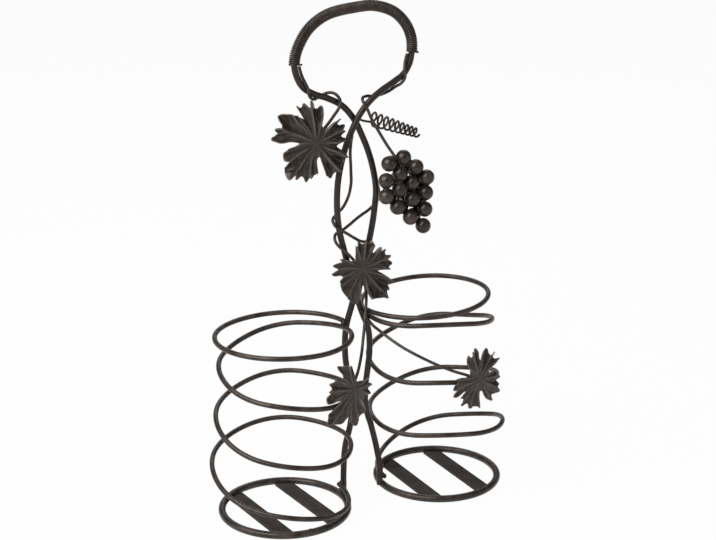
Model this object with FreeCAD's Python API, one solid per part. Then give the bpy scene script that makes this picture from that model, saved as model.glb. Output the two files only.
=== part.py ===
import FreeCAD, Part
import math
import os
from FreeCAD import Placement, Rotation, Vector

# Bottle caddy with two wells, of bent and welded steel bar, in millimetres.
# X runs from the left well to the right well, Y to the back and Z up.
# The origin is on the floor, midway between the axes of the two wells.

# Whole caddy
well_spacing = 142.0
bow_height = 402.5  # floor to the middle of the rod at the top of the carrying bow

# Base rings and the flat slats that floor each well
base_ring_radius = 50.9  # to the middle of the bar
base_bar = 5.8
slat_width = 13.0
slat_thickness = 2.5
slat_spread = 45.0  # between the middles of the two slats of a ring

# Stems that run up into the carrying bow
stem_rod = 5.0
stem_setback = 1.5  # middle of the crossed stems, behind the axes of the wells
foot_lift = 5.0  # foot of a stem above the floor

# Coils round the wells
coil_wire = 4.0
coil_radius = 54.0
left_coil_height = 153.0
right_coil_height = 160.5

# Wire wound on the carrying bow
grip_wire = 1.55
grip_pitch = 2.35

# Vine: stalk wires, corkscrew tendril, leaves and grapes
vine_wire = 2.4
tendril_wire = 1.8
tendril_root_radius = 5.5
tendril_tip_radius = 3.1
large_leaf = 36.0  # hub to the tips of the longest lobes
small_leaf = 28.0
leaf_sheet = 0.9
leaf_dome = 300.0  # radius that the pressed leaves are domed to
grape_ball = 12.2

# Clearances and cutting
weld_gap = 0.1  # left between two bars that are welded together
overrun = 2.0

# Counts
tendril_turns = 9
turns_per_step_share = 0.25  # coils are bent a quarter turn at a time
tendril_crowding_share = 0.25  # how much closer the tendril's turns lie towards its tip

# Places along a stem: X as a share of the well spacing, depth as a share of
# half the crossing depth, Z as a share of the bow height. The foot is worked out.
left_stem_shares = [
    (-0.097, 1.0, 0.111),
    (-0.069, 1.0, 0.147),
    (-0.053, 1.0, 0.205),
    (-0.077, 1.0, 0.255),
    (-0.098, 1.0, 0.310),
    (-0.092, 1.0, 0.362),
    (-0.053, 1.0, 0.411),
    (0.003, 1.0, 0.476),
    (0.057, 1.0, 0.540),
    (0.088, 1.0, 0.600),
    (0.097, 1.0, 0.640),
    (0.079, 1.0, 0.681),
    (0.046, 1.0, 0.720),
    (0.010, 1.0, 0.750),
    (-0.040, 1.0, 0.784),
    (-0.113, 1.0, 0.813),
    (-0.200, 0.9, 0.830),
    (-0.290, 0.7, 0.842),
    (-0.347, 0.6, 0.855),
    (-0.386, 0.5, 0.877),
    (-0.401, 0.4, 0.902),
    (-0.379, 0.3, 0.932),
    (-0.311, 0.2, 0.967),
    (-0.192, 0.1, 0.991),
]
right_stem_shares = [
    (0.088, -1.0, 0.095),
    (0.056, -1.0, 0.142),
    (0.020, -1.0, 0.187),
    (0.012, -1.0, 0.228),
    (0.026, -1.0, 0.268),
    (0.040, -1.0, 0.312),
    (0.031, -1.0, 0.358),
    (-0.010, -1.0, 0.396),
    (-0.070, -1.0, 0.462),
    (-0.118, -1.0, 0.525),
    (-0.150, -1.0, 0.570),
    (-0.164, -1.0, 0.625),
    (-0.157, -1.0, 0.668),
    (-0.129, -1.0, 0.714),
    (-0.072, -1.0, 0.765),
    (-0.019, -1.0, 0.797),
    (0.041, -1.0, 0.820),
    (0.110, -0.9, 0.837),
    (0.190, -0.8, 0.852),
    (0.250, -0.7, 0.865),
    (0.285, -0.6, 0.883),
    (0.302, -0.5, 0.908),
    (0.298, -0.4, 0.935),
    (0.262, -0.3, 0.962),
    (0.189, -0.2, 0.986),
    (0.085, -0.1, 0.999),
]
# Slats of each ring: degrees that they are turned, seen from above, and their shift
# to the right as a share of the ring's radius
left_slat_shares = (4.4, 0.0)
right_slat_shares = (0.0, -0.047)

bow_top_share = -0.010  # X of the joint at the top of the bow
foot_rise_share = 0.052  # height up to which a stem stands straight
grip_left_share = 0.899  # heights between which the bow is wound
grip_right_share = 0.906

# Each coil, a quarter turn at a time: reach from the well's axis as a share of
# the coil radius, height as a share of the coil's height. None is at the stem.
left_coil_shares = [
    (None, 1.000),
    (0.991, 0.982),
    (0.987, 0.982),
    (1.013, 0.984),
    (None, 0.966),
    (0.952, 0.893),
    (0.941, 0.788),
    (0.983, 0.696),
    (0.994, 0.666),
    (1.010, 0.630),
    (0.993, 0.497),
    (0.993, 0.378),
    (1.005, 0.372),
    (1.060, 0.362),
    (1.070, 0.229),
    (1.040, 0.103),
    (None, 0.072),
]
right_coil_shares = [
    (None, 1.000),
    (0.907, 1.025),
    (0.715, 1.036),
    (0.926, 1.016),
    (None, 0.970),
    (0.955, 0.952),
    (0.780, 0.857),
    (0.965, 0.768),
    (1.090, 0.671),
    (0.988, 0.647),
    (0.890, 0.554),
    (1.000, 0.454),
    (1.060, 0.379),
    (1.020, 0.371),
    (1.020, 0.287),
    (0.990, 0.146),
    (None, 0.069),
]

# Stalk wires of the vine. A place is beside the left or right stem (height as a
# share of the bow height, degrees round the stem from the front to the right,
# share of the touching distance) or free (shares of the spacing twice, of the height).
left_vine_shares = [
    ("left", 0.8955, 75, 1.00),
    ("left", 0.872, 65, 1.00),
    ("left", 0.859, 45, 1.02),
    ("left", 0.852, 15, 1.06),
    ("left", 0.846, 314, 1.06),
    ("left", 0.840, 271, 1.02),
    ("left", 0.836, 214, 1.02),
    ("left", 0.833, 164, 1.04),
    ("left", 0.831, 121, 1.12),
    ("left", 0.828, 86, 1.39),
    ("left", 0.825, 54, 1.53),
    ("left", 0.821, 19, 1.39),
    ("left", 0.820, 330, 1.82),
    ("free", -0.190, -0.028, 0.800),
    ("free", -0.233, -0.040, 0.786),
]
grape_vine_shares = [
    ("right", 0.9022, 272, 1.00),
    ("right", 0.883, 286, 1.30),
    ("right", 0.869, 315, 1.30),
    ("right", 0.862, 6, 1.12),
    ("right", 0.857, 67, 1.12),
    ("right", 0.851, 97, 1.17),
    ("right", 0.845, 113, 1.44),
    ("right", 0.837, 131, 1.51),
    ("right", 0.828, 167, 1.20),
    ("right", 0.821, 224, 1.30),
    ("right", 0.815, 259, 1.53),
    ("right", 0.811, 295, 1.25),
    ("right", 0.808, 352, 1.12),
    ("free", 0.022, -0.053, 0.790),
    ("free", 0.059, -0.092, 0.759),
    ("free", 0.100, -0.127, 0.730),
]
middle_vine_shares = [
    ("right", 0.758, 125, 1.00),
    ("right", 0.731, 113, 1.80),
    ("right", 0.696, 101, 2.80),
    ("right", 0.661, 97, 3.29),
    ("right", 0.632, 103, 2.92),
    ("right", 0.609, 124, 1.89),
    ("right", 0.600, 163, 1.20),
    ("right", 0.593, 237, 1.05),
    ("right", 0.585, 294, 1.20),
    ("right", 0.575, 344, 1.08),
    ("right", 0.565, 37, 1.46),
    ("right", 0.547, 73, 2.65),
    ("left", 0.536, 296, 2.99),
    ("left", 0.535, 305, 1.00),
]
lower_vine_shares = [
    ("left", 0.647, 134, 1.00),
    ("left", 0.635, 124, 1.30),
    ("left", 0.622, 124, 1.45),
    ("left", 0.609, 146, 1.26),
    ("left", 0.600, 199, 1.02),
    ("left", 0.582, 266, 3.42),
    ("right", 0.567, 119, 2.22),
    ("right", 0.563, 150, 1.26),
    ("right", 0.562, 195, 1.18),
    ("right", 0.560, 240, 1.15),
    ("right", 0.555, 279, 1.50),
    ("right", 0.546, 302, 1.60),
    ("right", 0.533, 337, 1.22),
    ("right", 0.518, 17, 1.42),
]
left_coil_vine_shares = [
    ("left", 0.478, 332, 1.03),
    ("left", 0.456, 34, 1.60),
    ("left", 0.435, 43, 2.53),
    ("free", -0.001, -0.042, 0.413),
    ("free", -0.021, -0.070, 0.3955),
    ("free", -0.048, -0.109, 0.375),
    ("free", -0.076, -0.148, 0.356),
    ("free", -0.101, -0.183, 0.340),
    ("free", -0.131, -0.222, 0.326),
    ("free", -0.170, -0.268, 0.311),
]
right_coil_vine_shares = [
    ("right", 0.389, 17, 1.00),
    ("right", 0.376, 5, 2.10),
    ("free", 0.063, -0.120, 0.359),
    ("free", 0.125, -0.232, 0.339),
    ("free", 0.197, -0.317, 0.323),
    ("free", 0.278, -0.359, 0.307),
    ("free", 0.369, -0.384, 0.291),
    ("free", 0.451, -0.391, 0.2785),
]
tendril_lead_shares = [("left", 0.779, 82, 1.00), ("left", 0.772, 80, 1.80)]
tendril_start_shares = (0.064, 0.021, 0.782)
tendril_end_shares = (0.356, 0.021, 0.743)

# Leaves: place of the hub, then degrees to the way it faces and to its stalk
upper_leaf_shares = ((-0.318, -0.067, 0.754), 0, 57)
middle_leaf_shares = ((-0.042, -0.074, 0.4940), 0, 133)
left_coil_leaf_shares = ((-0.230, -0.339, 0.2838), 17, 70)
right_coil_leaf_shares = ((0.533, -0.3965, 0.264), 10, 150)

# Outlines of the leaves, seen from the front: degrees from the right and share of the leaf's reach
upper_outline_shares = [
    (66, 0.39), (73, 0.61), (79, 0.81), (85, 0.76), (90, 0.86), (97, 0.91), (101, 0.85),
    (107, 0.91), (111, 0.88), (117, 1.00), (116, 0.81), (112, 0.61), (122, 0.70), (130, 0.88),
    (136, 0.93), (143, 0.99), (150, 0.94), (158, 1.01), (163, 0.96), (170, 1.00), (173, 0.91),
    (175, 0.72), (172, 0.56), (172, 0.38), (182, 0.38), (186, 0.53), (188, 0.65), (194, 0.74),
    (202, 0.79), (208, 0.75), (214, 0.82), (222, 0.88), (229, 0.98), (235, 0.86), (242, 0.88),
    (247, 0.82), (254, 0.86), (260, 0.79), (266, 0.80), (271, 0.72), (277, 0.72), (276, 0.50),
    (274, 0.38), (283, 0.31), (291, 0.32), (291, 0.47), (290, 0.61), (289, 0.79), (293, 0.83),
    (297, 0.95), (304, 0.88), (312, 0.91), (318, 0.85), (322, 0.92), (328, 0.82), (333, 0.83),
    (340, 0.69), (348, 0.54), (355, 0.64), (361, 0.74), (366, 0.69), (372, 0.76), (378, 0.72),
    (385, 0.78), (390, 0.69), (397, 0.73), (402, 0.70), (406, 0.55), (406, 0.40), (416, 0.36),
]
middle_outline_shares = [
    (141, 0.38), (147, 0.61), (153, 0.81), (158, 0.71), (164, 0.82), (169, 0.89), (175, 0.80),
    (182, 0.88), (188, 0.94), (191, 0.71), (192, 0.59), (203, 0.71), (208, 0.77), (213, 0.81),
    (222, 0.84), (232, 0.87), (240, 0.93), (248, 0.96), (255, 1.02), (260, 1.07), (265, 0.93),
    (270, 0.61), (276, 0.50), (281, 0.61), (283, 0.86), (288, 1.04), (294, 1.11), (301, 1.20),
    (306, 1.20), (310, 1.40), (315, 1.21), (320, 1.23), (326, 1.12), (332, 1.16), (335, 0.96),
    (340, 0.71), (343, 0.53), (347, 0.55), (350, 0.99), (354, 0.95), (359, 1.08), (364, 0.95),
    (369, 0.93), (375, 0.97), (381, 0.88), (388, 0.92), (394, 0.80), (400, 0.80), (404, 0.78),
    (404, 0.53), (410, 0.54), (416, 0.75), (421, 0.77), (426, 0.81), (432, 0.75), (440, 0.79),
    (448, 0.75), (456, 0.79), (461, 0.70), (468, 0.74), (472, 0.57), (476, 0.43), (484, 0.34),
]
left_coil_outline_shares = [
    (80, 0.29), (88, 0.50), (92, 0.73), (98, 0.70), (104, 0.82), (110, 0.86), (117, 0.88),
    (125, 1.01), (126, 0.79), (128, 0.59), (134, 0.68), (140, 0.79), (144, 0.91), (150, 0.86),
    (156, 0.93), (162, 0.89), (169, 0.96), (175, 0.91), (181, 0.96), (188, 0.99), (193, 0.79),
    (197, 0.61), (201, 0.45), (206, 0.64), (209, 0.93), (211, 1.04), (215, 1.11), (219, 1.29),
    (225, 1.14), (232, 1.11), (239, 1.06), (246, 1.00), (252, 0.86), (254, 0.71), (258, 0.56),
    (262, 0.64), (263, 0.86), (266, 1.00), (270, 1.04), (275, 1.10), (281, 0.96), (286, 0.98),
    (290, 0.91), (298, 0.86), (306, 0.76), (312, 0.61), (319, 0.49), (326, 0.55), (333, 0.64),
    (338, 0.70), (344, 0.67), (350, 0.64), (356, 0.70), (362, 0.67), (369, 0.62), (377, 0.65),
    (384, 0.50), (392, 0.36), (405, 0.29), (425, 0.25),
]
right_coil_outline_shares = [
    (152, 0.38), (162, 0.59), (165, 0.71), (169, 0.81), (175, 0.79), (181, 0.88), (187, 0.95),
    (193, 0.86), (198, 0.89), (202, 0.99), (206, 0.79), (205, 0.58), (210, 0.64), (213, 0.79),
    (220, 0.79), (226, 0.86), (233, 0.89), (240, 0.82), (248, 0.89), (258, 0.88), (266, 0.89),
    (275, 0.96), (277, 0.71), (278, 0.41), (287, 0.39), (295, 0.45), (295, 0.75), (304, 0.92),
    (310, 0.86), (318, 0.95), (327, 0.97), (332, 0.88), (338, 0.91), (345, 0.84), (353, 0.85),
    (360, 0.77), (368, 0.77), (368, 0.59), (376, 0.43), (388, 0.44), (386, 0.61), (384, 0.78),
    (389, 0.79), (393, 0.92), (400, 0.84), (406, 0.91), (413, 0.90), (418, 0.84), (425, 0.94),
    (432, 0.86), (439, 0.86), (444, 0.61), (447, 0.64), (449, 0.86), (456, 0.95), (461, 0.88),
    (467, 0.96), (472, 0.84), (476, 0.89), (481, 0.77), (486, 0.75), (491, 0.61), (494, 0.49),
    (502, 0.36),
]
seat_share = 0.20  # stalk's end, from the hub towards the stalk's notch

# Grapes in front: the first as shares of the spacing twice and of the bow height,
# then each from the first, as shares of the distance between two touching balls
bunch_shares = (0.077, -0.158, 0.7055)
front_grape_shares = {
    "A": (0.000, 0.000, 0.000),
    "B": (1.051, 0.035, 0.278),
    "C": (1.801, -0.231, -0.353),
    "D": (2.563, -0.300, -1.090),
    "E": (-0.254, -0.104, -1.047),
    "F": (0.762, -0.058, -0.704),
    "G": (1.662, 0.023, -1.407),
    "H": (-0.289, -0.196, -2.045),
    "I": (0.681, -0.150, -1.718),
    "J": (2.563, -0.173, -2.127),
    "K": (1.559, -0.208, -2.438),
    "L": (0.496, -0.254, -2.798),
    "M": (2.471, -0.266, -3.174),
    "N": (1.397, -0.312, -3.567),
    "O": (2.297, -0.369, -4.221),
}
# Each grape at the back rests on three others, of the front or of those before it here
rear_grape_rests = {
    "a": "ABF",
    "b": "CDG",
    "c": "FGI",
    "d": "GJK",
    "e": "HIL",
    "f": "KLN",
    "g": "MNO",
    "h": "Mdg",
    "i": "Jbd",
    "j": "abc",
    "k": "dfh",
}


def unit(vector):
    return vector * (1.0 / vector.Length)


def arc_edge(start, corner, end):
    """Arc from start to end whose end tangents meet at the corner, or a line if they are in line."""
    middle = (start + end) * 0.5
    rise = corner - middle
    half_chord = (end - start).Length / 2
    if rise.Length < half_chord * 1e-4:
        return Part.LineSegment(start, end).toShape()
    sagitta = half_chord * math.tan(math.atan2(rise.Length, half_chord) / 2)
    return Part.Arc(start, middle + unit(rise) * sagitta, end).toShape()


def biarc(start, start_way, end, end_way):
    """Two arcs that leave start along start_way, run into one another and reach end along end_way."""
    chord = end - start
    ways = start_way + end_way
    spread = 2 * (1 - start_way.dot(end_way))
    along = chord.dot(ways)
    if spread < 1e-9:
        reach = chord.dot(chord) / (2 * along)
    else:
        reach = (math.sqrt(along * along + spread * chord.dot(chord)) - along) / spread
    first = start + start_way * reach
    second = end - end_way * reach
    joint = (first + second) * 0.5
    return [arc_edge(start, first, joint), arc_edge(joint, second, end)]


def ways_through(points):
    """The direction at each point of the circles through it and its neighbours."""
    chords = [b - a for a, b in zip(points, points[1:])]
    inner = [unit(a * (1 / a.Length ** 2) + b * (1 / b.Length ** 2)) for a, b in zip(chords, chords[1:])]
    first, last = unit(chords[0]), unit(chords[-1])
    start = first * (2 * first.dot(inner[0])) - inner[0]
    end = last * (2 * last.dot(inner[-1])) - inner[-1]
    return [start] + inner + [end]


def path(points, ways=None, start_way=None, end_way=None):
    """A wire of tangent arcs through the points."""
    ways = list(ways or ways_through(points))
    ways[0] = start_way or ways[0]
    ways[-1] = end_way or ways[-1]
    edges = []
    for index in range(len(points) - 1):
        edges += biarc(points[index], ways[index], points[index + 1], ways[index + 1])
    return Part.Wire(edges)


def bar_along(wire, diameter):
    """A round bar whose middle follows the wire."""
    edge = wire.Edges[0]
    start = edge.valueAt(edge.FirstParameter)
    way = edge.tangentAt(edge.FirstParameter)
    section = Part.Wire(Part.Circle(start, way, diameter / 2).toShape())
    return wire.makePipeShell([section], True, False)


def distance_at_height(wire, height):
    """How far along a rising wire the given height is reached."""
    passed = 0.0
    for edge in wire.Edges:
        low, high = 0.0, edge.Length
        if edge.valueAt(edge.LastParameter).z < height:
            passed += edge.Length
            continue
        for _ in range(40):
            middle = (low + high) / 2
            if edge.valueAt(edge.getParameterByLength(middle)).z < height:
                low = middle
            else:
                high = middle
        return passed + high


def place_along(wire, distance):
    """The place and direction at a distance along a wire."""
    for edge in wire.Edges:
        if distance <= edge.Length:
            break
        distance -= edge.Length
    parameter = edge.getParameterByLength(min(distance, edge.Length))
    return edge.valueAt(parameter), unit(edge.tangentAt(parameter))


def least_gap(wire, diameter, loop_length):
    """The least gap between a bar and its own neighbouring turns, measured on points."""
    points = wire.discretize(Distance=diameter / 2)
    step = wire.Length / (len(points) - 1)
    apart = int(loop_length / step / 2)
    nearest = min(
        (points[a] - points[b]).Length
        for a in range(len(points))
        for b in range(a + apart, min(a + 5 * apart, len(points)))
    )
    return nearest - diameter


# Stems
crossing_depth = stem_rod + weld_gap
foot_rise = foot_lift - base_bar / 2
foot_reach = base_ring_radius + stem_rod / 2 + math.sqrt((base_bar / 2 + weld_gap) ** 2 - foot_rise ** 2)


def stem_path(side, rows):
    """One stem, from its foot beside the base ring to the joint at the top of the bow."""
    depth = stem_setback - side * crossing_depth / 2
    foot_x = side * (well_spacing / 2 - math.sqrt(foot_reach ** 2 - depth ** 2))
    points = [Vector(foot_x, depth, foot_lift), Vector(foot_x, depth, foot_rise_share * bow_height)]
    for x_share, depth_share, z_share in rows:
        points.append(
            Vector(
                x_share * well_spacing,
                stem_setback + depth_share * crossing_depth / 2,
                z_share * bow_height,
            )
        )
    points.append(Vector(bow_top_share * well_spacing, stem_setback, bow_height))
    return path(points, start_way=Vector(0, 0, 1), end_way=Vector(-side, 0, 0))


left_stem_path = stem_path(-1, left_stem_shares)
right_stem_path = stem_path(1, right_stem_shares)

nodes = {
    "left_stem": bar_along(left_stem_path, stem_rod),
    "right_stem": bar_along(right_stem_path, stem_rod),
}

# Base rings and slats
for name, side, (turned, shift_share) in (("left", -1, left_slat_shares), ("right", 1, right_slat_shares)):
    well = Vector(side * well_spacing / 2, 0, 0)
    ring_middle = well + Vector(0, 0, base_bar / 2)
    nodes[name + "_base_ring"] = Part.makeTorus(base_ring_radius, base_bar / 2, ring_middle)
    inside = Part.makeCylinder(base_ring_radius - base_bar / 2, slat_thickness, well)
    for place, offset in (("outer", side), ("inner", -side)):
        middle = shift_share * base_ring_radius + offset * slat_spread / 2
        corner = well + Vector(middle - slat_width / 2, -base_ring_radius, 0)
        slat = Part.makeBox(slat_width, 2 * base_ring_radius, slat_thickness, corner)
        slat.rotate(well, Vector(0, 0, 1), turned)
        nodes[name + "_" + place + "_slat"] = slat.common(inside)


# Coils
def coil_path(side, stem_wire, height, rows):
    """A coil that drops counter-clockwise from the stem it is welded to."""
    well_x = side * well_spacing / 2
    points = []
    for index, (reach_share, height_share) in enumerate(rows):
        level = height_share * height
        beside, way = place_along(stem_wire, distance_at_height(stem_wire, level))
        turned = math.atan2(beside.y, beside.x - well_x)
        if reach_share is None:
            stand_off = ((stem_rod + coil_wire) / 2 + weld_gap) / way.z
            reach = math.hypot(beside.x - well_x, beside.y) - stand_off
        else:
            reach = reach_share * coil_radius
        angle = turned + 2 * math.pi * index * turns_per_step_share
        points.append(Vector(well_x + reach * math.cos(angle), reach * math.sin(angle), level))
    return path(points)


left_coil_path = coil_path(-1, left_stem_path, left_coil_height, left_coil_shares)
right_coil_path = coil_path(1, right_stem_path, right_coil_height, right_coil_shares)
nodes["left_coil"] = bar_along(left_coil_path, coil_wire)
nodes["right_coil"] = bar_along(right_coil_path, coil_wire)
for name, wire in (("left_coil", left_coil_path), ("right_coil", right_coil_path)):
    print(name, "least gap to itself", round(least_gap(wire, coil_wire, 2 * math.pi * coil_radius), 2))


# Wire wound round the bow
def place_on_bow(distance):
    """The place and direction at a distance from the left foot, over the top to the right foot."""
    if distance <= left_stem_path.Length:
        return place_along(left_stem_path, distance)
    place, way = place_along(right_stem_path, left_stem_path.Length + right_stem_path.Length - distance)
    return place, way * -1


grip_start = distance_at_height(left_stem_path, grip_left_share * bow_height)
grip_end = (
    left_stem_path.Length
    + right_stem_path.Length
    - distance_at_height(right_stem_path, grip_right_share * bow_height)
)
grip_radius = (stem_rod + grip_wire) / 2 + weld_gap
half_turns = 2 * int((grip_end - grip_start) / grip_pitch)
points = []
ways = []
for index in range(half_turns + 1):
    middle, way = place_on_bow(grip_start + (grip_end - grip_start) * index / half_turns)
    front = unit(way.cross(Vector(0, -1, 0)).cross(way))
    across = way.cross(front)
    facing = 1 if index % 2 == 0 else -1
    points.append(middle + front * (facing * grip_radius))
    ways.append(unit(across * (facing * math.pi * grip_radius) + way * (grip_pitch / 2)))
grip_path = path(points, ways)
nodes["grip_winding"] = bar_along(grip_path, grip_wire)
print("grip_winding turns", half_turns // 2)
grip_loop = 2 * math.pi * grip_radius
print("grip_winding least gap to itself", round(least_gap(grip_path, grip_wire, grip_loop), 2))


# Vine
def place_from(where, first, second, third, wire_size=vine_wire):
    """A place beside a stem, or a free one, from a row of shares."""
    if where == "free":
        return Vector(first * well_spacing, second * well_spacing, third * bow_height)
    wire = left_stem_path if where == "left" else right_stem_path
    middle, way = place_along(wire, distance_at_height(wire, first * bow_height))
    front = unit(way.cross(Vector(0, -1, 0)).cross(way))
    right = way.cross(front)
    stand_off = third * ((stem_rod + wire_size) / 2 + weld_gap)
    turned = math.radians(second)
    return middle + (front * math.cos(turned) + right * math.sin(turned)) * stand_off


def leaf_frame(rows):
    """Where a leaf is: its plane is local XY, with its right to local X and its face to local Z."""
    hub, facing, _ = rows
    turn = Rotation(Vector(0, 0, 1), facing).multiply(Rotation(Vector(1, 0, 0), 90))
    return Placement(place_from("free", *hub), turn)


def dome_drop(distance):
    """How far the domed face has dropped at a distance from the hub."""
    return leaf_dome - math.sqrt(leaf_dome ** 2 - distance ** 2)


def leaf(rows, outline_shares, reach):
    """A lobed leaf pressed from sheet, domed towards the front."""
    corners = []
    for turned, share in outline_shares:
        angle = math.radians(turned)
        corners.append(Vector(share * reach * math.cos(angle), share * reach * math.sin(angle), 0))
    widest = max(corner.Length for corner in corners)
    outline = Part.Face(Part.makePolygon(corners + corners[:1]))
    depth = dome_drop(widest) + leaf_sheet + 2 * overrun
    outline.translate(Vector(0, 0, overrun - depth))
    blank = outline.extrude(Vector(0, 0, depth))
    middle = Vector(0, 0, -leaf_dome)
    sheet = Part.makeSphere(leaf_dome, middle).cut(Part.makeSphere(leaf_dome - leaf_sheet, middle))
    pressed = blank.common(sheet)
    pressed.Placement = leaf_frame(rows).multiply(pressed.Placement)
    return pressed


def leaf_seat(rows, reach):
    """The end of a stalk wire behind a leaf, on the side of the stalk's notch."""
    along = seat_share * reach
    behind = dome_drop(along) + leaf_sheet + vine_wire / 2 + weld_gap
    angle = math.radians(rows[2])
    return leaf_frame(rows).multVec(Vector(along * math.cos(angle), along * math.sin(angle), -behind))


# Grapes
ball_reach = grape_ball + weld_gap
bunch = place_from("free", *bunch_shares)
front_grapes = {letter: bunch + Vector(*row) * ball_reach for letter, row in front_grape_shares.items()}


def ball_behind(first, second, third):
    """The middle of a ball that rests on the backs of three others."""
    side, other = second - first, third - first
    normal = side.cross(other)
    middle = (
        normal.cross(side) * other.dot(other) + other.cross(normal) * side.dot(side)
    ) * (1 / (2 * normal.dot(normal)))
    rise = math.sqrt(ball_reach ** 2 - middle.dot(middle))
    back = unit(normal) if normal.y > 0 else unit(normal) * -1
    return first + middle + back * rise


grapes = dict(front_grapes)
for letter, rests in rear_grape_rests.items():
    grapes[letter] = ball_behind(*[grapes[rest] for rest in rests])
for index, middle in enumerate(grapes.values()):
    nodes["grape_%02d" % (index + 1)] = Part.makeSphere(grape_ball / 2, middle)
across = front_grapes["B"] - front_grapes["A"]
stand_off = (grape_ball + vine_wire) / 2 + weld_gap
lift = math.sqrt(stand_off ** 2 - (across.Length / 2) ** 2)
upward = unit(across.cross(Vector(0, -1, 0)).cross(across).cross(across))
upward = upward if upward.z > 0 else upward * -1
grape_seat = (front_grapes["A"] + front_grapes["B"]) * 0.5 + upward * lift

# Stalk wires, each from the stem it is welded to
vine_paths = {}
for name, rows, end in (
    ("upper_leaf_stalk", left_vine_shares, leaf_seat(upper_leaf_shares, large_leaf)),
    ("grape_stalk", grape_vine_shares, grape_seat),
    ("middle_vine", middle_vine_shares, None),
    ("middle_leaf_stalk", lower_vine_shares, leaf_seat(middle_leaf_shares, small_leaf)),
    ("left_coil_leaf_stalk", left_coil_vine_shares, leaf_seat(left_coil_leaf_shares, small_leaf)),
    ("right_coil_leaf_stalk", right_coil_vine_shares, leaf_seat(right_coil_leaf_shares, small_leaf)),
):
    points = [place_from(*row) for row in rows]
    if end:
        points.append(end)
    vine_paths[name] = path(points)
    nodes[name] = bar_along(vine_paths[name], vine_wire)

# Corkscrew tendril
tendril_start = place_from("free", *tendril_start_shares)
tendril_way = place_from("free", *tendril_end_shares) - tendril_start
axis = unit(tendril_way)
front = unit(axis.cross(Vector(0, -1, 0)).cross(axis))
upward = front.cross(axis)
points = [place_from(*row, tendril_wire) for row in tendril_lead_shares]
quarters = 4 * tendril_turns
for index in range(quarters + 1):
    part = index / quarters
    angle = math.pi * index / 2
    radius = tendril_root_radius + (tendril_tip_radius - tendril_root_radius) * part
    along = part * (1 + tendril_crowding_share * (1 - part))
    aside = front * math.cos(angle) + upward * math.sin(angle)
    points.append(tendril_start + tendril_way * along + aside * radius)
tendril_path = path(points)
nodes["corkscrew_tendril"] = bar_along(tendril_path, tendril_wire)
tendril_loop = 2 * math.pi * tendril_tip_radius
tendril_gap = least_gap(tendril_path, tendril_wire, tendril_loop)
print("corkscrew_tendril least gap to itself", round(tendril_gap, 2))

# Leaves
nodes["upper_leaf"] = leaf(upper_leaf_shares, upper_outline_shares, large_leaf)
nodes["middle_leaf"] = leaf(middle_leaf_shares, middle_outline_shares, small_leaf)
nodes["left_coil_leaf"] = leaf(left_coil_leaf_shares, left_coil_outline_shares, small_leaf)
nodes["right_coil_leaf"] = leaf(right_coil_leaf_shares, right_coil_outline_shares, small_leaf)

os.makedirs("parts", exist_ok=True)
for name, shape in nodes.items():
    print(name, "valid", shape.isValid(), "solids", len(shape.Solids), "volume", round(shape.Volume, 1))
    shape.exportStep("parts/" + name + ".step")
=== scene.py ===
import itertools
import math

import bmesh
import bpy
from bpy.props import FloatProperty, FloatVectorProperty, IntProperty, PointerProperty
from mathutils import Matrix, Vector, noise
from mathutils.geometry import delaunay_2d_cdt


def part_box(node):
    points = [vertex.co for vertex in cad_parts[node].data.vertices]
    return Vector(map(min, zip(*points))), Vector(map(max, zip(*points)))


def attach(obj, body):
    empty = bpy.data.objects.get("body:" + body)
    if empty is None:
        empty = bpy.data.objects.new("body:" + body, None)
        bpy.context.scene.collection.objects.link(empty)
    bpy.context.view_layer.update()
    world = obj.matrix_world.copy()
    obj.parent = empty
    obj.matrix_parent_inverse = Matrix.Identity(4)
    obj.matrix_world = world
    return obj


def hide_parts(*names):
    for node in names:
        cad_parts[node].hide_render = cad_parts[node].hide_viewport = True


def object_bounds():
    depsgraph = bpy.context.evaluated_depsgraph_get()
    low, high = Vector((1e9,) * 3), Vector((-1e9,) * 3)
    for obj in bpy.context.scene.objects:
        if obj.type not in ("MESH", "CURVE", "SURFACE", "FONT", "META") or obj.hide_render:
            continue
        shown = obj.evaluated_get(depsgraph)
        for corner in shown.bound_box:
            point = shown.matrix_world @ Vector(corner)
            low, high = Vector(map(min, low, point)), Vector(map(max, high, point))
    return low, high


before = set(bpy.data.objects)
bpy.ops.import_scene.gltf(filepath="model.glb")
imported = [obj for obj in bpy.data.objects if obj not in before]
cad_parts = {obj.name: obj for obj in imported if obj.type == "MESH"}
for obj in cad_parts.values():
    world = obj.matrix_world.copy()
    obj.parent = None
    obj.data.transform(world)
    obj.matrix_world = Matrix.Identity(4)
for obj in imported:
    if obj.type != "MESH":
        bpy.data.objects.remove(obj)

bl_info = {
    "name": "Vine bottle caddy",
    "version": (1, 0, 0),
    "blender": (4, 5, 0),
    "location": "View3D > Sidebar > Caddy",
    "description": "Dresses the wire bottle caddy: bars, wound grip, pressed leaves, grapes and weld beads",
    "category": "Object",
}

CAD_BOX = [list(map(float, corner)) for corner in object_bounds()]
MM = 0.001

# Pieces that keep the shape of their solids, by finish
BARS = ("left_base_ring", "right_base_ring", "left_coil", "right_coil")
STEMS = ("left_stem", "right_stem")
SLATS = ("left_outer_slat", "left_inner_slat", "right_outer_slat", "right_inner_slat")
WIRES = (
    "upper_leaf_stalk",
    "middle_leaf_stalk",
    "left_coil_leaf_stalk",
    "right_coil_leaf_stalk",
    "grape_stalk",
    "middle_vine",
    "corkscrew_tendril",
)

# Patterns in the lacquer, in millimetres. The real grit is too fine to show, so it is drawn coarser
CLOUD_SIZE = 9
GRIT_SIZE = 1.6

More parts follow.
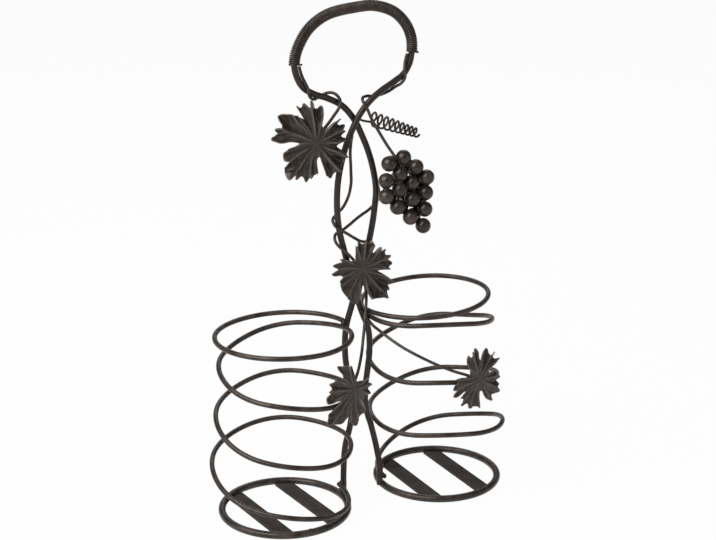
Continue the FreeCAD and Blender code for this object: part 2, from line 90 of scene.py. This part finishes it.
# Middle of the rod over the carrying bow, from left to right, in millimetres
BOW = (
    (-49.3, 3.0, 344.1),
    (-54.8, 2.8, 353.0),
    (-56.9, 2.5, 363.1),
    (-53.8, 2.3, 375.1),
    (-44.2, 2.0, 389.2),
    (-27.3, 1.8, 398.9),
    (-1.4, 1.5, 402.5),
    (12.1, 1.2, 402.1),
    (26.8, 1.0, 396.9),
    (37.2, 0.7, 387.2),
    (42.3, 0.5, 376.3),
    (42.9, 0.2, 365.5),
    (40.5, 0.0, 355.4),
    (35.5, -0.3, 348.2),
)
BOW_STEPS = 60

# Wound grip, in millimetres: heights where it starts and ends, outer radius, and the wire's cut ends
GRIP_FROM_HEIGHT = 361.9
GRIP_TO_HEIGHT = 364.7
GRIP_RADIUS = 4.45
GRIP_FIRST_END = 2.8
GRIP_LAST_END = 2.4
GRIP_STEPS_PER_TURN = 12
GRIP_SIDES = 8

# Each leaf: hub in millimetres, degrees it faces, share of the pleats' height, degrees to its lobes' veins
LEAVES = {
    "upper_leaf": ((-45.16, -9.51, 303.5), 0, 1.45, (98, 152, 229, 309, 378)),
    "middle_leaf": ((-5.96, -10.51, 198.8), 0, 1.0, (82, 172, 238, 310, 372)),
    "left_coil_leaf": ((-32.66, -48.14, 114.2), 17, 1.0, (108, 165, 222, 276, 360)),
    "right_coil_leaf": ((75.69, -56.3, 106.26), 10, 1.0, (107, 185, 245, 330, 415)),
}

# Edge of a leaf: the least turn that is a corner, and how bays and tips move out from the hub or in to it
CORNER_DEGREES = 8
NARROW_TIP_DEGREES = 65
BAY_FROM_SHARE = 0.45
BAY_SHARE = 0.88
NARROW_TIP_SHARE = 0.99
TIP_SHARE = 1.05
ROUNDING_TIMES = 2
ROUNDING_SHARE = 0.25

# Mesh of a leaf, in millimetres: side of its triangles, points that count as one, and least drop of its dome
LEAF_STEP = 0.7
LEAF_ROW_SHARE = 0.866
SAME_CORNER = 0.01
SAME_POINT = 0.02
LEAST_DROP = 0.1
FRONT_FACING = 0.7

# Broad folds of a leaf: width, how flat their sides are, and how they stray from even ones
FOLD_DEGREES = 24
FOLD_FLATNESS = 0.94
FOLD_GROWN_AT = 26
FOLD_STRAY_PER_METRE = 45
FOLD_STRAY_TURN = 1.6
FOLD_EVEN_SHARE = 0.75
FOLD_STRAY_SHARE = 0.7

# Side veins and ribs of a leaf, in millimetres
SIDE_VEIN_SPACING = 6
SIDE_VEIN_SLANT = 1.3
SIDE_VEIN_HEIGHT = 0.22
SIDE_VEIN_GROWN_AT = 4
RIB_HEIGHT = 0.3
RIB_HALF_WIDTH = 1.0
RIB_LENGTH = 30

# Curl of a leaf's lobes, and the waves of its rim in millimetres
CURL_SHARE = 0.0022
CURL_DEGREES = 10
CURL_POWER = 1.6
WAVE_HEIGHT = 2.2
WAVES_PER_METRE = 70

# Brazing between balls, in millimetres: radius of its hollow, and the widest gap that it closes
BRAZE_HOLLOW = 1.0
BRAZE_GAP = 0.5
BRAZE_TURN_SHARE = 0.98
BRAZE_HALF_STEPS = 4
BRAZE_SIDES = 24

# Weld beads: middle, then half lengths along X, Y and Z, in millimetres
BEADS = (
    ((-18.0, 3.9, 5.2), (1.6, 2.6, 2.0)),
    ((18.0, -1.0, 5.2), (1.6, 2.6, 2.0)),
    ((-17.6, 4.0, 11.2), (1.6, 2.2, 2.6)),
    ((17.2, -1.2, 22.0), (1.9, 2.3, 4.2)),
    ((-15.5, 4.0, 150.5), (1.8, 2.4, 3.6)),
    ((2.6, -1.0, 157.6), (1.8, 2.4, 3.6)),
    ((-5.5, 1.5, 172.4), (2.2, 1.6, 2.8)),
    ((-5.7, 1.5, 315.6), (2.2, 1.6, 2.8)),
)
BEAD_SUBDIVISIONS = 3
BEAD_RIPPLE = 1.6
BEAD_RIPPLE_SHARE = 0.16

# Seams where the bars of the base rings are closed: middle of the ring, then degrees from the right
RING_SEAMS = {"left_ring_seam": (-71.0, 268.0), "right_ring_seam": (71.0, 235.0)}
RING_RADIUS = 50.9
RING_BAR = 5.8
SEAM_PROUD = 0.14
SEAM_HALF_STEPS = 2
SEAM_STEP_DEGREES = 0.5
SEAM_SIDES = 32

# Stage, in metres: half width of the floor, share of its white that needs no lamp, and its matt share
FLOOR_REACH = 40.0
FLOOR_WHITE_SHARE = 0.96
FLOOR_MATT_SHARE = 0.8
ROOM_STRENGTH = 0.15

# Lamps: place and width in metres, then watts
SOFTBOXES = {
    "key_softbox": ((-1.25, -0.35, 1.45), 1.7, 42.0),
    "front_softbox": ((0.9, -1.4, 0.9), 1.0, 3.0),
    "back_softbox": ((0.6, 1.2, 1.3), 0.9, 6.0),
}
SOFTBOX_TARGET = (0, 0, 0.2)

# Camera: place in metres, lens and sensor in millimetres, radians it looks down and degrees it turns right
CAMERA_PLACE = (-0.5692, -1.0774, 0.5734)
CAMERA_LENS = 80.73
CAMERA_SENSOR = 36.0
CAMERA_DOWN = 0.302
CAMERA_TURN_DEGREES = 27.67


def linear(text):
    """Linear colour from an sRGB hex value."""
    parts = [int(text[index:index + 2], 16) / 255 for index in (1, 3, 5)]
    return [part / 12.92 if part <= 0.04045 else ((part + 0.055) / 1.055) ** 2.4 for part in parts]


def colour_setting(name, description, default):
    """A colour that the sidebar shows."""
    return FloatVectorProperty(
        name=name,
        description=description,
        subtype="COLOR",
        size=3,
        min=0.0,
        max=1.0,
        default=default,
    )


class CaddySettings(bpy.types.PropertyGroup):
    """Sizes and colours of the caddy's finish."""

    lacquer: colour_setting("Lacquer", "Brown-black lacquer over the whole caddy", linear("#2d2724"))
    rubbed: colour_setting("Rubbed lacquer", "Lighter brown where the lacquer is thin", linear("#4e443e"))
    # Paler tone for the leaves' ridges: wear on them, and also a painted highlight on their raised facets
    ridge_wear_and_highlight: colour_setting("Worn ridge", "Bare tone on the high ridges of the leaves", linear("#7d726a"))
    grip_wire: FloatProperty(
        name="Grip wire",
        description="Thickness of the wire wound on the bow",
        default=1.5 * MM,
        min=0.5 * MM,
        unit="LENGTH",
    )
    grip_turns: IntProperty(
        name="Grip turns",
        description="Turns of wire wound on the bow",
        default=96,
        min=10,
    )
    leaf_sheet: FloatProperty(
        name="Leaf sheet",
        description="Thickness of the pressed sheet",
        default=0.9 * MM,
        min=0.2 * MM,
        unit="LENGTH",
    )
    pleat: FloatProperty(
        name="Leaf pleats",
        description="Height of the pleats as a share of the distance from the hub",
        default=0.14,
        min=0.0,
        max=0.2,
    )
    floor: colour_setting("Floor", "Colour of the floor and backdrop", (1.0, 1.0, 1.0))


def add(tree, kind, settings=(), links=()):
    """Adds one node, sets what is given and links its sockets, by name or by number, to sources."""
    node = tree.nodes.new(kind)
    for name, value in dict(settings).items():
        if isinstance(name, int) or name in node.inputs:
            node.inputs[name].default_value = value
        else:
            setattr(node, name, value)
    for name, source in dict(links).items():
        tree.links.new(source, node.inputs[name])
    return node


def mixed(tree, share, first, second):
    """A colour between two others, each a colour or the output of a node."""
    node = add(tree, "ShaderNodeMix", {"data_type": "RGBA"}, {"Factor": share})
    sockets = [socket for socket in node.inputs if socket.type == "RGBA"]
    for socket, colour in zip(sockets, (first, second)):
        if isinstance(colour, bpy.types.NodeSocket):
            tree.links.new(colour, socket)
        else:
            socket.default_value = (*colour, 1)
    return next(socket for socket in node.outputs if socket.type == "RGBA")


def lacquered_steel(name, roughness, dent, dent_depth, thin_share=1.0, wear_and_highlight=0.0, gloss=0.5):
    """Bronze-brown lacquer with metal flake, brushed by hand over mild steel, with dents in millimetres.

    The eye sees a satin near-black skin, clouded with brown where it is thin, with warm gleams over
    shallow dents. The ridges are painted a paler tone, partly for wear and partly as a painted highlight.
    """
    settings = bpy.context.scene.caddy
    material = bpy.data.materials.new(name)
    material.use_nodes = True
    tree = material.node_tree
    tree.nodes.clear()
    place = add(tree, "ShaderNodeTexCoord").outputs["Object"]
    cloud = add(
        tree,
        "ShaderNodeTexNoise",
        {"Scale": 1 / (CLOUD_SIZE * MM), "Detail": 3.0, "Roughness": 0.6},
        {"Vector": place},
    )
    thin = add(
        tree,
        "ShaderNodeMapRange",
        {"From Min": 0.38, "From Max": 0.72, "To Max": thin_share},
        {"Value": cloud.outputs["Fac"]},
    )
    tint = mixed(tree, thin.outputs["Result"], settings.lacquer, settings.rubbed)
    # Ridges are painted paler by pointiness: partly wear, partly a painted highlight on the raised facets
    if wear_and_highlight:
        high = add(tree, "ShaderNodeNewGeometry")
        edge = add(
            tree,
            "ShaderNodeMapRange",
            {"From Min": 0.50, "From Max": 0.56, "To Max": wear_and_highlight},
            {"Value": high.outputs["Pointiness"]},
        )
        tint = mixed(tree, edge.outputs["Result"], tint, settings.ridge_wear_and_highlight)
    grit = add(tree, "ShaderNodeTexNoise", {"Scale": 1 / (GRIT_SIZE * MM), "Detail": 2.0}, {"Vector": place})
    rough = add(
        tree,
        "ShaderNodeMapRange",
        {"To Min": roughness - 0.10, "To Max": roughness + 0.12},
        {"Value": grit.outputs["Fac"]},
    )
    dents = add(tree, "ShaderNodeTexNoise", {"Scale": 1 / (dent * MM), "Detail": 1.0}, {"Vector": place})
    bump = add(
        tree,
        "ShaderNodeBump",
        {"Strength": 0.6, "Distance": dent_depth * MM},
        {"Height": dents.outputs["Fac"]},
    )
    shader = add(
        tree,
        "ShaderNodeBsdfPrincipled",
        {"Metallic": 0.3, "Specular IOR Level": gloss, "Specular Tint": (1.0, 0.93, 0.88, 1)},
        {"Base Color": tint, "Roughness": rough.outputs["Result"], "Normal": bump.outputs["Normal"]},
    )
    add(tree, "ShaderNodeOutputMaterial", (), {"Surface": shader.outputs["BSDF"]})
    return material


def paint(names, material):
    """Gives CAD nodes a finish."""
    for name in names:
        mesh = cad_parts[name].data
        mesh.materials.clear()
        mesh.materials.append(material)


def piece(name, mesh, material, slot, *nodes):
    """Puts a mesh in the scene as a piece of the caddy, in place of the CAD nodes named."""
    mesh.materials.append(material)
    obj = bpy.data.objects.new(name, mesh)
    bpy.context.scene.collection.objects.link(obj)
    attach(obj, "root")
    if nodes:
        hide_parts(*nodes)
    return obj


def made_mesh(name, work):
    """The mesh of a finished work mesh."""
    mesh = bpy.data.meshes.new(name)
    work.to_mesh(mesh)
    work.free()
    return mesh


def ring(work, place, side, up, radius, count):
    """Corners in a circle round a place."""
    corners = []
    for corner in range(count):
        angle = 2 * math.pi * corner / count
        corners.append(work.verts.new(place + (side * math.cos(angle) + up * math.sin(angle)) * radius))
    return corners


def skin(work, rings):
    """Smooth faces from ring to ring, and a flat face at both ends."""
    count = len(rings[0])
    for first, second in zip(rings, rings[1:]):
        for corner in range(count):
            after = (corner + 1) % count
            work.faces.new((first[corner], first[after], second[after], second[corner])).smooth = True
    work.faces.new(list(reversed(rings[0])))
    work.faces.new(rings[-1])


def smooth_line(points, steps):
    """A dense smooth line through points."""
    line = []
    for index in range(1, len(points) - 2):
        a, b, c, d = points[index - 1:index + 3]
        slope = c - a
        bend = a * 2 - b * 5 + c * 4 - d
        twist = b * 3 - a - c * 3 + d
        for step in range(steps):
            t = step / steps
            line.append((b * 2 + slope * t + bend * t ** 2 + twist * t ** 3) * 0.5)
    return line


def tube(name, line, radius, sides):
    """A round tube along a line of points, closed at both ends."""
    work = bmesh.new()
    rings = []
    side = None
    for index, place in enumerate(line):
        way = (line[min(index + 1, len(line) - 1)] - line[max(index - 1, 0)]).normalized()
        if side is None:
            side = way.orthogonal().normalized()
        side = (side - way * side.dot(way)).normalized()
        rings.append(ring(work, place, side, way.cross(side), radius, sides))
    skin(work, rings)
    return made_mesh(name, work)


class CADDY_OT_bars(bpy.types.Operator):
    """Lacquers the rings, slats, coils, stems and vine wires"""

    bl_idname = "caddy.bars"
    bl_label = "Lacquer the bars"

    def execute(self, context):
        bar = lacquered_steel("lacquered_bent_bar", roughness=0.36, dent=7.0, dent_depth=0.2)
        paint(BARS, bar)
        stem = lacquered_steel(
            "lacquered_stem_bar", roughness=0.34, dent=7.0, dent_depth=0.2, thin_share=0.25, gloss=0.4
        )
        paint(STEMS, stem)
        slat = lacquered_steel(
            "lacquered_flat_bar", roughness=0.52, dent=9.0, dent_depth=0.2, thin_share=0.5, gloss=0.2
        )
        paint(SLATS, slat)
        wire = lacquered_steel("lacquered_vine_wire", roughness=0.34, dent=5.0, dent_depth=0.1)
        paint(WIRES, wire)
        return {"FINISHED"}


def gripped_bow():
    """The part of the bow that the grip is wound on."""
    bow = smooth_line([Vector(point) * MM for point in BOW], BOW_STEPS)
    top = max(range(len(bow)), key=lambda index: bow[index].z)
    first = min(range(top), key=lambda index: abs(bow[index].z - GRIP_FROM_HEIGHT * MM))
    last = min(range(top, len(bow)), key=lambda index: abs(bow[index].z - GRIP_TO_HEIGHT * MM))
    return bow[first:last + 1]


def winding(bow, turns, radius):
    """Points of a wire wound round the bow."""
    lengths = [0.0]
    for start, end in zip(bow, bow[1:]):
        lengths.append(lengths[-1] + (end - start).length)
    count = turns * GRIP_STEPS_PER_TURN - GRIP_STEPS_PER_TURN // 2
    forward = Vector((0, -1, 0))
    line = []
    at = 0
    for index in range(count + 1):
        along = lengths[-1] * index / count
        while at < len(bow) - 2 and lengths[at + 1] < along:
            at += 1
        share = (along - lengths[at]) / (lengths[at + 1] - lengths[at])
        middle = bow[at].lerp(bow[at + 1], share)
        way = (bow[at + 1] - bow[at]).normalized()
        front = (forward - way * way.dot(forward)).normalized()
        across = way.cross(front)
        angle = math.pi / 2 + 2 * math.pi * index / GRIP_STEPS_PER_TURN
        line.append(middle + (front * math.cos(angle) + across * math.sin(angle)) * radius)
    return line


class CADDY_OT_grip(bpy.types.Operator):
    """Winds wire closely round the carrying bow"""

    bl_idname = "caddy.grip"
    bl_label = "Wind the grip"

    def execute(self, context):
        settings = context.scene.caddy
        bow = gripped_bow()
        line = winding(bow, settings.grip_turns, GRIP_RADIUS * MM - settings.grip_wire / 2)
        # The cut ends of the wire stand off the bow
        first_way = (line[0] - bow[0]).normalized()
        last_way = (line[-1] - bow[-1]).normalized()
        first_end = line[0] + first_way * GRIP_FIRST_END * MM
        last_end = line[-1] + last_way * GRIP_LAST_END * MM
        mesh = tube("wound_grip", [first_end] + line + [last_end], settings.grip_wire / 2, GRIP_SIDES)
        finish = lacquered_steel("lacquered_grip_wire", roughness=0.34, dent=4.0, dent_depth=0.05)
        piece("wound_grip", mesh, finish, "grip_wire", "grip_winding")
        return {"FINISHED"}


def leaf_outline(node, out):
    """The edge of a leaf's front face, in order, read from its CAD node."""
    work = bmesh.new()
    work.from_mesh(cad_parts[node].data)
    bmesh.ops.remove_doubles(work, verts=work.verts, dist=SAME_CORNER * MM)
    work.normal_update()
    front = [face for face in work.faces if face.normal.dot(out) > FRONT_FACING]
    inside = set(front)
    edges = {}
    for face in front:
        for loop in face.loops:
            if not any(other in inside and other is not face for other in loop.edge.link_faces):
                edges[loop.vert.index] = loop.link_loop_next.vert.index
    work.verts.ensure_lookup_table()
    start = next(iter(edges))
    order = [start]
    while edges[order[-1]] != start:
        order.append(edges[order[-1]])
        if len(order) > len(edges):
            raise RuntimeError("the edge of " + node + " is not one loop")
    places = [work.verts[index].co.copy() for index in order]
    work.free()
    return places


def with_neighbours(places):
    """Each place of a closed line, between the one before it and the one after it."""
    return zip(places[-1:] + places[:-1], places, places[1:] + places[:1])


def toothed(rim):
    """A leaf's edge, with the bays between its teeth pressed deeper and its corners rounded."""
    corners = []
    for before, place, after in with_neighbours(rim):
        if (place - before).angle(after - place) > math.radians(CORNER_DEGREES):
            corners.append(place)
    spread = max(place.length for place in corners)
    teeth = []
    for before, place, after in with_neighbours(corners):
        far = place.length
        share = 1.0
        if far > before.length and far > after.length:
            narrow = (before - place).angle(after - place) < math.radians(NARROW_TIP_DEGREES)
            share = NARROW_TIP_SHARE if narrow else TIP_SHARE
        elif far < before.length and far < after.length and far > BAY_FROM_SHARE * spread:
            share = BAY_SHARE
        teeth.append(place * share)
    # A corner is rounded by cutting it along both of its edges
    for _ in range(ROUNDING_TIMES):
        rounded = []
        for place, after in zip(teeth, teeth[1:] + teeth[:1]):
            rounded += [place.lerp(after, ROUNDING_SHARE), place.lerp(after, 1 - ROUNDING_SHARE)]
        teeth = rounded
    return teeth


def sheet_points(rim):
    """Points along a leaf's edge and in rows over it, and the lines that join those of the edge."""
    size = LEAF_STEP * MM
    points = []
    for start, end in zip(rim, rim[1:] + rim[:1]):
        parts = max(1, round((end - start).length / size))
        points += [start.lerp(end, part / parts) for part in range(parts)]
    lines = [(index, (index + 1) % len(points)) for index in range(len(points))]
    count = int(max(place.length for place in rim) / size) + 1
    for row in range(-count, count + 1):
        for column in range(-count, count + 1):
            points.append(Vector(((column + 0.5 * (row % 2)) * size, row * size * LEAF_ROW_SHARE)))
    return points, lines


def nearest(angle, veins):
    """Signed degrees from the nearest vein."""
    gaps = [(angle - vein + 180) % 360 - 180 for vein in veins]
    return min(gaps, key=abs)


def leaf_height(across, up, veins, pleat):
    """How far the pressed sheet stands out at a place on the leaf, in metres."""
    reach = math.hypot(across, up)
    turned = nearest(math.degrees(math.atan2(up, across)), veins)
    grown = min(1.0, reach / (FOLD_GROWN_AT * MM))
    # Broad folds that fan out from the hub
    stray = noise.noise(Vector((across, up, 0.7)) * FOLD_STRAY_PER_METRE)
    swing = math.cos(2 * math.pi * turned / FOLD_DEGREES + FOLD_STRAY_TURN * stray)
    fold = math.asin(FOLD_FLATNESS * swing) * 2 / math.pi
    height = fold * (FOLD_EVEN_SHARE + FOLD_STRAY_SHARE * stray) * pleat * reach * grown
    # Side veins that slant out from the middle of each lobe
    along = reach * math.cos(math.radians(turned))
    aside = reach * math.sin(math.radians(abs(turned)))
    slant = math.cos(2 * math.pi * (along - SIDE_VEIN_SLANT * aside) / (SIDE_VEIN_SPACING * MM))
    height += SIDE_VEIN_HEIGHT * MM * slant * min(1.0, aside / (SIDE_VEIN_GROWN_AT * MM)) * grown
    # A rib along the middle of each lobe
    rib = math.exp(-((aside / (RIB_HALF_WIDTH * MM)) ** 2))
    height += RIB_HEIGHT * MM * rib * max(0.0, 1 - reach / (RIB_LENGTH * MM))
    # Lobes curl back to the sides, and the rim is wavy
    height -= CURL_SHARE * reach * (abs(turned) / CURL_DEGREES) ** CURL_POWER
    height += WAVE_HEIGHT * MM * grown ** 2 * noise.noise(Vector((across, up, 0.3)) * WAVES_PER_METRE)
    return height


def pressed_leaf(node, hub, facing, veins, pleat):
    """The front of a leaf as a mesh: toothed, domed like its CAD node, and pressed with folds and ribs."""
    hub = Vector(hub) * MM
    turned = math.radians(facing)
    right = Vector((math.cos(turned), math.sin(turned), 0))
    out = Vector((math.sin(turned), -math.cos(turned), 0))
    edge = [place - hub for place in leaf_outline(node, out)]
    dropped = [place for place in edge if place.dot(out) < -LEAST_DROP * MM]
    dome = max(place.length ** 2 / (-2 * place.dot(out)) for place in dropped)
    rim = toothed([Vector((place.dot(right), place.z)) for place in edge])
    points, lines = sheet_points(rim)
    places, _, faces, *_ = delaunay_2d_cdt(points, lines, [], 1, SAME_POINT * MM)
    work = bmesh.new()
    made = []
    for place in places:
        depth = leaf_height(place.x, place.y, veins, pleat)
        depth -= place.length_squared / (2 * dome)
        made.append(work.verts.new(hub + right * place.x + Vector((0, 0, place.y)) + out * depth))
    for face in faces:
        work.faces.new([made[index] for index in face]).smooth = True
    loose = [vert for vert in work.verts if not vert.link_faces]
    bmesh.ops.delete(work, geom=loose, context="VERTS")
    bmesh.ops.recalc_face_normals(work, faces=work.faces)
    if sum(face.normal.dot(out) for face in work.faces) < 0:
        bmesh.ops.reverse_faces(work, faces=work.faces)
    return made_mesh("pressed_" + node, work)


class CADDY_OT_leaves(bpy.types.Operator):
    """Presses the vine leaves with ribs and pleats"""

    bl_idname = "caddy.leaves"
    bl_label = "Press the leaves"

    def execute(self, context):
        settings = context.scene.caddy
        finish = lacquered_steel(
            "lacquered_leaf_sheet",
            roughness=0.27,
            dent=4.0,
            dent_depth=0.12,
            thin_share=0.6,
            # The leaves' ridges are painted paler: wear, and a painted highlight
            wear_and_highlight=0.6,
            gloss=0.45,
        )
        for node, (hub, facing, pleat_share, veins) in LEAVES.items():
            mesh = pressed_leaf(node, hub, facing, veins, settings.pleat * pleat_share)
            obj = piece("pressed_" + node, mesh, finish, "leaf_sheet", node)
            sheet = obj.modifiers.new("sheet", "SOLIDIFY")
            sheet.thickness = settings.leaf_sheet
            sheet.offset = -1
        return {"FINISHED"}


def braze(work, first, second, radius):
    """A hollow collar of braze round the place where two balls touch."""
    hollow = BRAZE_HOLLOW * MM
    way = second - first
    half = way.length / 2
    away = math.sqrt((radius + hollow) ** 2 - half ** 2)
    turn = math.atan2(half, away) * BRAZE_TURN_SHARE
    middle = (first + second) / 2
    way.normalize()
    side = way.orthogonal().normalized()
    up = way.cross(side)
    rings = []
    for step in range(-BRAZE_HALF_STEPS, BRAZE_HALF_STEPS + 1):
        angle = turn * step / BRAZE_HALF_STEPS
        reach = away - hollow * math.cos(angle)
        place = middle + way * hollow * math.sin(angle)
        rings.append(ring(work, place, side, up, reach, BRAZE_SIDES))
    skin(work, rings)


class CADDY_OT_grapes(bpy.types.Operator):
    """Lacquers the steel balls of the bunch and brazes them together"""

    bl_idname = "caddy.grapes"
    bl_label = "Lacquer the grapes"

    def execute(self, context):
        names = [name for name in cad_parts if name.startswith("grape_") and name != "grape_stalk"]
        ball = lacquered_steel(
            "lacquered_steel_ball", roughness=0.27, dent=4.0, dent_depth=0.05, thin_share=0.9
        )
        paint(names, ball)
        middles = []
        for name in names:
            low, high = (Vector(corner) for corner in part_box(name))
            middles.append((low + high) / 2)
        radius = (high.x - low.x) / 2
        work = bmesh.new()
        for first, second in itertools.combinations(middles, 2):
            if (second - first).length <= 2 * radius + BRAZE_GAP * MM:
                braze(work, first, second, radius)
        finish = lacquered_steel("lacquered_braze", roughness=0.4, dent=2.0, dent_depth=0.1, thin_share=0.5)
        piece("grape_brazing", made_mesh("grape_brazing", work), finish, "round_bar")
        return {"FINISHED"}


def weld_beads():
    """Lumps of weld with a rippled skin, as one mesh."""
    work = bmesh.new()
    for place, half in BEADS:
        middle = Vector(place) * MM
        shape = Matrix.Translation(middle) @ Matrix.Diagonal((*(Vector(half) * MM), 1))
        lump = bmesh.ops.create_icosphere(work, subdivisions=BEAD_SUBDIVISIONS, radius=1.0, matrix=shape)
        for vert in lump["verts"]:
            ripple = noise.noise(vert.co / (BEAD_RIPPLE * MM))
            vert.co = middle + (vert.co - middle) * (1 + BEAD_RIPPLE_SHARE * ripple)
    for face in work.faces:
        face.smooth = True
    return made_mesh("weld_beads", work)


class CADDY_OT_welds(bpy.types.Operator):
    """Lays weld beads where the bars meet and seams where the rings close"""

    bl_idname = "caddy.welds"
    bl_label = "Lay the weld beads"

    def execute(self, context):
        mesh = weld_beads()
        finish = lacquered_steel("lacquered_weld", roughness=0.48, dent=2.0, dent_depth=0.2)
        piece("weld_beads", mesh, finish, "round_bar")
        radius = RING_BAR / 2 + SEAM_PROUD
        for name, (well, turned) in RING_SEAMS.items():
            line = []
            for step in range(-SEAM_HALF_STEPS, SEAM_HALF_STEPS + 1):
                angle = math.radians(turned + step * SEAM_STEP_DEGREES)
                across = well + RING_RADIUS * math.cos(angle)
                line.append(Vector((across, RING_RADIUS * math.sin(angle), radius)) * MM)
            piece(name, tube(name, line, radius * MM, SEAM_SIDES), finish, "round_bar")
        return {"FINISHED"}


def background_rays(tree):
    """One for rays that show the background: to the camera, in a gloss or through glass."""
    rays = add(tree, "ShaderNodeLightPath")
    total = rays.outputs["Is Camera Ray"]
    for name in ("Is Glossy Ray", "Is Transmission Ray"):
        both = add(tree, "ShaderNodeMath", {"operation": "MAXIMUM"}, {0: total, 1: rays.outputs[name]})
        total = both.outputs["Value"]
    return total


def white_paper(colour):
    """White paper sweep: mostly its own white to the eye, so that only a faint shadow shows."""
    paper = bpy.data.materials.new("white_paper_sweep")
    paper.use_nodes = True
    tree = paper.node_tree
    tree.nodes.clear()
    own = add(
        tree,
        "ShaderNodeMath",
        {"operation": "MULTIPLY", 1: FLOOR_WHITE_SHARE},
        {0: background_rays(tree)},
    )
    dimmed = [FLOOR_MATT_SHARE * part for part in colour]
    matt = add(tree, "ShaderNodeBsdfDiffuse", {"Color": (*dimmed, 1)})
    white = add(tree, "ShaderNodeEmission", {"Color": (*colour, 1), "Strength": 1.0})
    both = add(
        tree,
        "ShaderNodeMixShader",
        (),
        {"Fac": own.outputs["Value"], 1: matt.outputs["BSDF"], 2: white.outputs["Emission"]},
    )
    add(tree, "ShaderNodeOutputMaterial", (), {"Surface": both.outputs["Shader"]})
    return paper


class CADDY_OT_stage(bpy.types.Operator):
    """Sets up the floor, the studio light and the camera"""

    bl_idname = "caddy.stage"
    bl_label = "Set the stage"

    def execute(self, context):
        scene = context.scene
        scene.view_settings.view_transform = "Standard"
        mesh = bpy.data.meshes.new("floor")
        signs = ((-1, -1), (1, -1), (1, 1), (-1, 1))
        corners = [(across * FLOOR_REACH, along * FLOOR_REACH, 0) for across, along in signs]
        mesh.from_pydata(corners, [], [(0, 1, 2, 3)])
        mesh.materials.append(white_paper(scene.caddy.floor))
        floor = bpy.data.objects.new("floor", mesh)
        floor.location.z = CAD_BOX[0][2]
        scene.collection.objects.link(floor)

        world = scene.world or bpy.data.worlds.new("studio")
        scene.world = world
        world.use_nodes = True
        tree = world.node_tree
        tree.nodes.clear()
        room = add(tree, "ShaderNodeBackground", {"Color": (1, 1, 1, 1), "Strength": ROOM_STRENGTH})
        add(tree, "ShaderNodeOutputWorld", (), {"Surface": room.outputs["Background"]})

        for name, (place, size, power) in SOFTBOXES.items():
            lamp = bpy.data.lights.new(name, "AREA")
            lamp.shape = "SQUARE"
            lamp.size = size
            lamp.energy = power
            softbox = bpy.data.objects.new(name, lamp)
            softbox.location = place
            way = Vector(SOFTBOX_TARGET) - Vector(place)
            softbox.rotation_euler = way.to_track_quat("-Z", "Y").to_euler()
            scene.collection.objects.link(softbox)

        lens = bpy.data.cameras.new("camera")
        lens.sensor_width = CAMERA_SENSOR
        lens.sensor_fit = "HORIZONTAL"
        lens.lens = CAMERA_LENS
        camera = bpy.data.objects.new("camera", lens)
        camera.location = CAMERA_PLACE
        camera.rotation_euler = (math.pi / 2 - CAMERA_DOWN, 0, -math.radians(CAMERA_TURN_DEGREES))
        scene.collection.objects.link(camera)
        scene.camera = camera
        return {"FINISHED"}


class CADDY_PT_panel(bpy.types.Panel):
    """Lists the caddy's sizes, colours and steps"""

    bl_idname = "CADDY_PT_panel"
    bl_label = "Vine bottle caddy"
    bl_space_type = "VIEW_3D"
    bl_region_type = "UI"
    bl_category = "Caddy"

    def draw(self, context):
        for name in CaddySettings.__annotations__:
            self.layout.prop(context.scene.caddy, name)
        for step in STEPS:
            self.layout.operator(step.bl_idname)


STEPS = (
    CADDY_OT_stage,
    CADDY_OT_bars,
    CADDY_OT_grip,
    CADDY_OT_leaves,
    CADDY_OT_grapes,
    CADDY_OT_welds,
)
CLASSES = (CaddySettings, *STEPS, CADDY_PT_panel)


def register():
    for kind in CLASSES:
        bpy.utils.register_class(kind)
    bpy.types.Scene.caddy = PointerProperty(type=CaddySettings)


def unregister():
    del bpy.types.Scene.caddy
    for kind in reversed(CLASSES):
        bpy.utils.unregister_class(kind)


def main():
    register()
    for step in STEPS:
        group, name = step.bl_idname.split(".")
        getattr(getattr(bpy.ops, group), name)()


if __name__ == "__main__":
    main()
